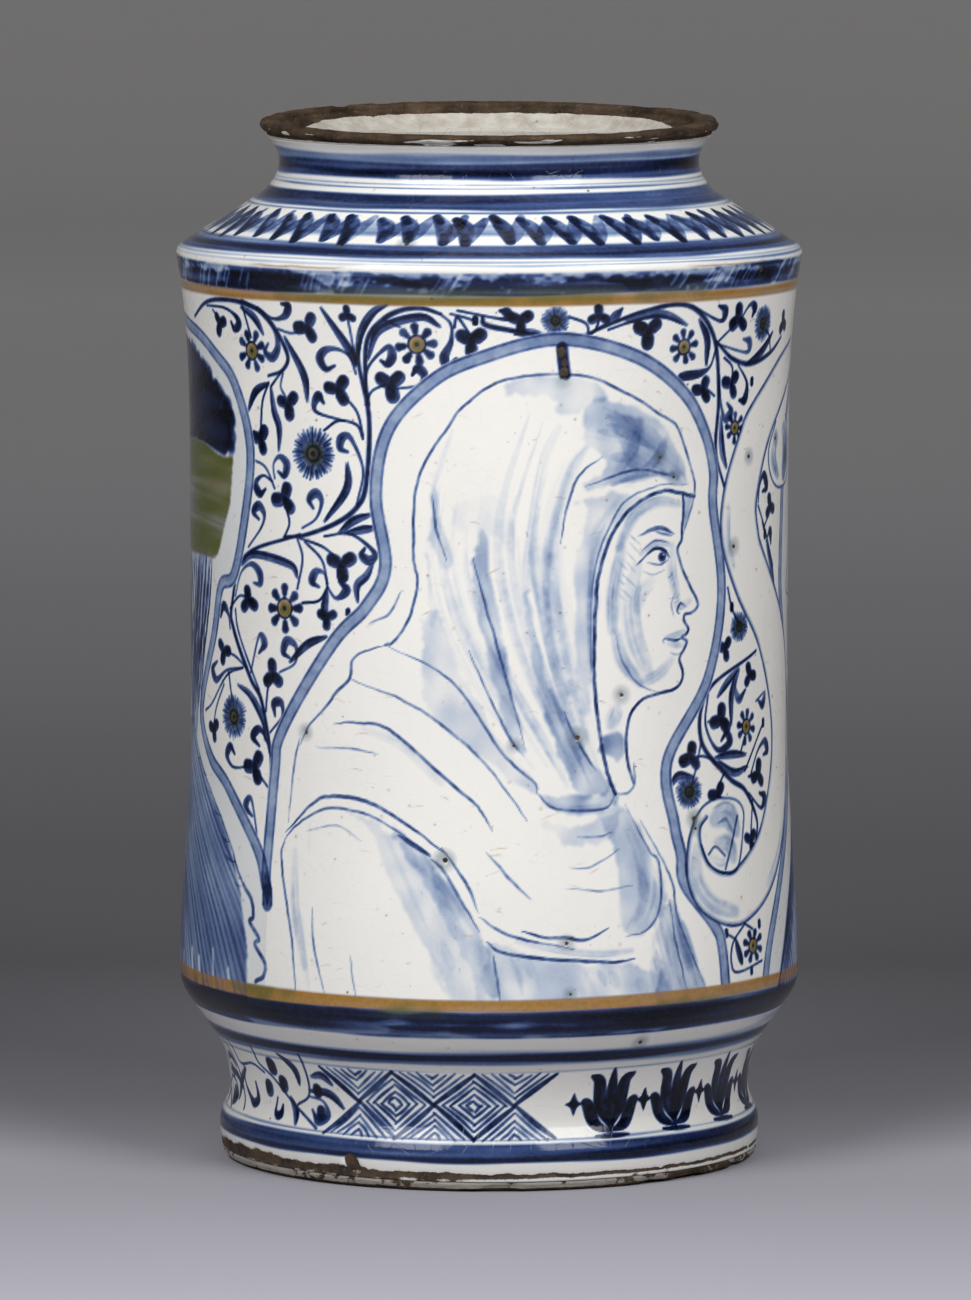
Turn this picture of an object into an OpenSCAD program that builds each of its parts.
// Albarello: a waisted tin-glazed earthenware drug jar with a flared foot,
// a sharp conical shoulder and an everted lip that a tied cover would grip.
// The jar stands on the XY plane with its axis on Z. Lengths are millimetres.

/* [Wall] */
// Radius of the wall at its waist
wall_waist_r = 89.8; // [75:0.1:110]
// How far the wall stands out from its waist, just above the bevel
wall_low_out = 3.4; // [1:0.1:6]
// How far the wall stands out from its waist, at the shoulder ridge
wall_top_out = 4; // [1:0.1:6]
// Height of the wall, from the bevel to the shoulder ridge
wall_h = 221.5; // [180:0.5:280]
// Height over which the wall draws in from the bevel to its waist
wall_draw_h = 75; // [50:1:80]
// Height over which the wall flares from its waist to the ridge
wall_flare_h = 81; // [50:1:90]

/* [Bevel and foot] */
// Height of the bevel between the foot and the wall
bevel_h = 16; // [12:0.5:20]
// How far the bevel draws in from the wall to the foot
bevel_in = 11.2; // [8:0.1:14]
// Rounding of the corner between the bevel and the wall
bevel_round = 12; // [6:0.5:16]
// Height of the foot, from the ground to the bevel
foot_h = 36; // [30:0.5:46]
// How far the foot draws in below the bevel
foot_cove = 3.8; // [2:0.1:6]
// Height of the foot's narrowest place above the ground
foot_waist_z = 21; // [18:0.5:24]
// How far the bead round the bottom stands out from the narrowest place
foot_bead = 3.2; // [2:0.1:5]
// Height of the middle of the bead above the ground
foot_bead_z = 10; // [8:0.5:12]
// How far the bead is drawn in where it meets the ground
foot_undercut = 2; // [1:0.1:3]
// Width of the ring that the jar stands on
foot_ring_w = 12; // [8:0.5:16]
// Depth of the hollow turned under the floor
foot_recess = 2.5; // [1.5:0.1:4]

/* [Shoulder and neck] */
// Height of the shoulder, from the ridge to the root of the neck
shoulder_h = 16.5; // [13:0.5:20]
// Width of the shoulder, from the ridge to the root of the neck
shoulder_w = 26.2; // [20:0.1:32]
// Rounding of the shoulder ridge
ridge_round = 4; // [2:0.1:6]
// Height of the neck, from its root to the lip
neck_h = 16; // [13:0.5:20]
// How far the neck draws in from its root to its narrowest place
neck_cove = 4.7; // [3:0.1:7]
// Height of the narrowest place above the root of the neck
neck_narrow_h = 9; // [6:0.5:10]
// How far the neck flares from its narrowest place to the lip
neck_flare = 3.3; // [2:0.1:5]
// Thickness of the clay at the neck's narrowest place
neck_t = 6.2; // [5:0.1:8]

/* [Lip] */
// Height of the lip
lip_h = 8; // [6:0.5:10]
// How far the lip stands out from the top of the neck
lip_out = 2.6; // [1.5:0.1:5]
// Height of the lip's rounded outer edge
lip_edge_h = 4.6; // [3:0.1:4.8]
// Depth of the rounding on the lip's outer and inner edges
lip_round = 2; // [1.2:0.1:2.2]
// Thickness of the lip at its top
lip_t = 7; // [5:0.1:9]

/* [Clay and glaze] */
// Thickness of the clay wall
clay_t = 7; // [6:0.1:8]
// Thickness of the clay floor
floor_t = 9; // [7:0.5:12]
// Rounding of the inside corner between the wall and the floor
floor_round = 8; // [5:0.5:10]
// Thickness of the fired glaze
glaze_t = 0.6; // [0.4:0.05:0.8]
// Bare clay left above the ground, below the outer glaze
foot_bare = 3; // [2:0.5:4]

/* [Hidden] */
$fn = 96;

// Colours of the fired materials
clay_colour = [0.47, 0.36, 0.25];
glaze_colour = [0.90, 0.90, 0.89];

// Steps in each rounded or swept stretch of the outline
arc_steps = 8;
wall_steps = 36;
// How late the wall flares: a high power keeps the flare close to the ridge
wall_flare_power = 4;
// Shortest step allowed next to a corner of the inner outline
least_step = 1;

// Heights of the joins between the zones
bevel_z = foot_h;
wall_z = bevel_z + bevel_h;
ridge_z = wall_z + wall_h;
neck_z = ridge_z + shoulder_h;
lip_z = neck_z + neck_h;
jar_h = lip_z + lip_h;

// Finished radii, each from the one that it grows out of
wall_low_r = wall_waist_r + wall_low_out;
wall_top_r = wall_waist_r + wall_top_out;
foot_top_r = wall_low_r - bevel_in;
foot_waist_r = foot_top_r - foot_cove;
foot_bead_r = foot_waist_r + foot_bead;
foot_base_r = foot_bead_r - foot_undercut;
neck_root_r = wall_top_r - shoulder_w;
neck_r = neck_root_r - neck_cove;
neck_top_r = neck_r + neck_flare;
lip_r = neck_top_r + lip_out;
mouth_r = neck_r - neck_t - 2 * glaze_t;

// Wall thickness with both glaze coats
full_t = clay_t + 2 * glaze_t;
floor_top_z = foot_recess + floor_t + glaze_t;
foot_inner_r = foot_waist_r - full_t;
floor_disc_r = foot_inner_r - floor_round;

// Slope of the shoulder and of the bevel, as rise over run
shoulder_rise = shoulder_h / shoulder_w;
bevel_rise = bevel_h / bevel_in;
// Vertical distance between the two faces of a sloping wall
shoulder_drop = full_t * sqrt(1 + pow(shoulder_rise, 2));
bevel_lift = full_t * sqrt(1 + pow(bevel_rise, 2));

// Each slope is rounded into the upright wall: turn of the corner, and its reach up the wall
bevel_turn = 90 - atan(bevel_rise);
bevel_reach = bevel_round * tan(bevel_turn / 2);
ridge_turn = 90 - atan(shoulder_rise);
ridge_reach = ridge_round * tan(ridge_turn / 2);
upright_z = wall_z + bevel_reach;
flare_top_z = ridge_z - ridge_reach;
flare_z = flare_top_z - wall_flare_h;

// Steps from p to q on a curve that is upright at both ends
function swept(p, q, steps) =
    [for (i = [1:steps]) let (t = i / steps)
        [p[0] + (q[0] - p[0]) * (1 - cos(180 * t)) / 2, p[1] + (q[1] - p[1]) * t]];

// Steps from p to q on a parabola that is upright at p and flares towards q
function flared(p, q, steps) =
    [for (i = [1:steps]) let (t = i / steps)
        [p[0] + (q[0] - p[0]) * pow(t, 2), p[1] + (q[1] - p[1]) * t]];

// The same parabola, from its flared end q to its upright end p
function drawn_in(q, p, steps) =
    [for (i = [1:steps]) let (t = i / steps)
        [p[0] + (q[0] - p[0]) * pow(1 - t, 2), q[1] + (p[1] - q[1]) * t]];

// Steps on an ellipse about c, from angle a to angle b, with its start if first is 0
function elbow(c, rx, rz, a, b, steps, first = 1) =
    [for (i = [first:steps]) let (w = a + (b - a) * i / steps)
        [c[0] + rx * cos(w), c[1] + rz * sin(w)]];

// Radius of the outer wall at height z: drawn in on half a cosine, then flared on a power curve
function wall_r(z) =
    let (drawn = min(max((z - upright_z) / wall_draw_h, 0), 1),
         flare = min(max((z - flare_z) / wall_flare_h, 0), 1))
    wall_waist_r + (wall_low_r - wall_waist_r) * (1 + cos(180 * drawn)) / 2
                 + (wall_top_r - wall_waist_r) * pow(flare, wall_flare_power);

function sub_path(p, first, last) = [for (i = [first:last]) p[i]];
function reversed(p) = [for (i = [len(p) - 1:-1:0]) p[i]];

// Left-hand normal of the step from a to b
function left_of(a, b) = let (d = b - a) [-d[1], d[0]] / norm(d);

// A path moved sideways by t to its left, with mitred corners
function beside(p, t) =
    [for (i = [0:len(p) - 1])
        let (n = len(p),
             before = left_of(p[max(i - 1, 0)], p[max(i, 1)]),
             after = left_of(p[min(i, n - 2)], p[min(i + 1, n - 1)]),
             mid = (before + after) / norm(before + after))
        p[i] + mid * t / (mid * before)];

// Outer finished outline of each zone, from the ground up
bare_angle = -asin(1 - foot_bare / foot_bead_z);
foot_path = concat(
    [[foot_base_r, 0], [foot_base_r + foot_undercut * cos(bare_angle), foot_bare]],
    elbow([foot_base_r, foot_bead_z], foot_undercut, foot_bead_z, bare_angle, 0, arc_steps),
    swept([foot_bead_r, foot_bead_z], [foot_waist_r, foot_waist_z], arc_steps),
    flared([foot_waist_r, foot_waist_z], [foot_top_r, foot_h], arc_steps));

bevel_path = elbow([wall_low_r - bevel_round, upright_z], bevel_round, bevel_round,
                   -bevel_turn, 0, arc_steps, first = 0);
wall_path = [for (i = [1:wall_steps - 1])
    let (z = upright_z + (flare_top_z - upright_z) * i / wall_steps)
    [wall_r(z), z]];
ridge_path = elbow([wall_top_r - ridge_round, flare_top_z], ridge_round, ridge_round,
                   0, ridge_turn, arc_steps, first = 0);
shoulder_path = [[neck_root_r, neck_z]];
neck_narrow_z = neck_z + neck_narrow_h;
neck_path = concat(
    drawn_in([neck_root_r, neck_z], [neck_r, neck_narrow_z], arc_steps),
    flared([neck_r, neck_narrow_z], [neck_top_r, lip_z], arc_steps));

outer_path = concat(foot_path, bevel_path, wall_path, ridge_path, shoulder_path, neck_path);
foot_end = len(foot_path) - 1;
ridge_start = foot_end + len(bevel_path) + len(wall_path) + 1;
shoulder_end = foot_end + len(bevel_path) + len(wall_path) + len(ridge_path) + len(shoulder_path);
neck_end = len(outer_path) - 1;
// The glaze starts at the second point: the first stands on the ground
glaze_start = 1;

// Inner finished outline, from the middle of the floor up to the lip
function inner_bevel_z(r) = bevel_z + (r - foot_top_r) * bevel_rise + bevel_lift;
function inner_shoulder_z(r) = ridge_z + (wall_top_r - r) * shoulder_rise - shoulder_drop;
low_inner_r = wall_low_r - full_t;
top_inner_r = wall_top_r - full_t;
inner_low_z = inner_bevel_z(low_inner_r);
inner_top_z = inner_shoulder_z(top_inner_r);
inner_foot_path = concat(
    [[0, floor_top_z], [floor_disc_r, floor_top_z]],
    elbow([floor_disc_r, floor_top_z + floor_round], floor_round, floor_round, -90, 0, arc_steps),
    [[foot_inner_r, inner_bevel_z(foot_inner_r)]]);
inner_wall_path = concat(
    [[low_inner_r, inner_low_z]],
    [for (p = wall_path)
        if (p[1] > inner_low_z + least_step && p[1] < inner_top_z - least_step) [p[0] - full_t, p[1]]],
    [[top_inner_r, inner_top_z]]);
inner_neck_path = [[mouth_r, inner_shoulder_z(mouth_r)], [mouth_r, lip_z]];
inner_path = concat(inner_foot_path, inner_wall_path, inner_neck_path);
inner_foot_end = len(inner_foot_path) - 1;
inner_wall_end = inner_foot_end + len(inner_wall_path);
inner_neck_start = inner_wall_end + 1;
inner_neck_end = len(inner_path) - 1;

// Faces of the clay, one glaze coat in from each finished outline
clay_outer = beside(outer_path, glaze_t);
clay_inner = beside(inner_path, -glaze_t);
floor_edge_r = clay_inner[1][0];
lip_inner_r = mouth_r + glaze_t;

// A thrown ring of clay between two stretches of the outer and inner faces
module clay_ring(outline) {
    color(clay_colour) rotate_extrude() polygon(outline);
}

// A glaze coat, from its finished outline and the clay face behind it
module glaze_coat(outline) {
    color(glaze_colour) rotate_extrude() polygon(outline);
}

// Turned foot: the ring that the jar stands on, open in the middle for the floor
module foot_ring() {
    ground = [[floor_edge_r, foot_recess], [foot_base_r - foot_ring_w, foot_recess],
              [foot_base_r - foot_ring_w + foot_recess, 0], [clay_outer[0][0], 0]];
    outer = sub_path(clay_outer, glaze_start, foot_end);
    inner = sub_path(clay_inner, 1, inner_foot_end);
    clay_ring(concat(ground, outer, reversed(inner)));
}

// Floor: the slab that the potter opens the jar on
module floor_disc() {
    color(clay_colour)
    translate([0, 0, foot_recess])
        cylinder(r = floor_edge_r, h = floor_t);
}

// Waisted wall, from the bevel over the foot up to the shoulder ridge
module body_wall() {
    outer = sub_path(clay_outer, foot_end, ridge_start);
    inner = sub_path(clay_inner, inner_foot_end, inner_wall_end);
    clay_ring(concat(outer, reversed(inner)));
}

// Conical shoulder, luted to the wall at the ridge
module shoulder_ring() {
    outer = sub_path(clay_outer, ridge_start, shoulder_end);
    inner = sub_path(clay_inner, inner_wall_end, inner_neck_start);
    clay_ring(concat(outer, reversed(inner)));
}

// Neck that a tied cover grips
module neck_collar() {
    outer = concat(sub_path(clay_outer, shoulder_end, neck_end - 1), [[clay_outer[neck_end][0], lip_z]]);
    inner = [clay_inner[inner_neck_start], [lip_inner_r, lip_z]];
    clay_ring(concat(outer, reversed(inner)));
}

// Everted lip, worn down to bare clay
module rim_lip() {
    outer = concat([[neck_top_r, lip_z]],
                   elbow([lip_r - lip_round, jar_h - lip_edge_h / 2], lip_round, lip_edge_h / 2,
                         -90, 90, 2 * arc_steps, first = 0));
    inner = concat(elbow([lip_r - lip_t + lip_round, jar_h - lip_round], lip_round, lip_round,
                         90, 180, arc_steps, first = 0),
                   [[lip_inner_r, lip_z]]);
    clay_ring(concat(outer, inner));
}

// White tin glaze outside, from just above the ground to the underside of the lip
module outer_glaze() {
    finished = sub_path(outer_path, glaze_start, neck_end);
    behind = concat(sub_path(clay_outer, glaze_start, neck_end - 1), [[clay_outer[neck_end][0], lip_z]]);
    glaze_coat(concat(finished, reversed(behind)));
}

// White glaze inside, over the floor and up to the worn lip
module inner_glaze() {
    behind = concat([[0, foot_recess + floor_t]], sub_path(clay_inner, 1, inner_neck_end));
    glaze_coat(concat(inner_path, reversed(behind)));
}

foot_ring();
floor_disc();
body_wall();
shoulder_ring();
neck_collar();
rim_lip();
outer_glaze();
inner_glaze();
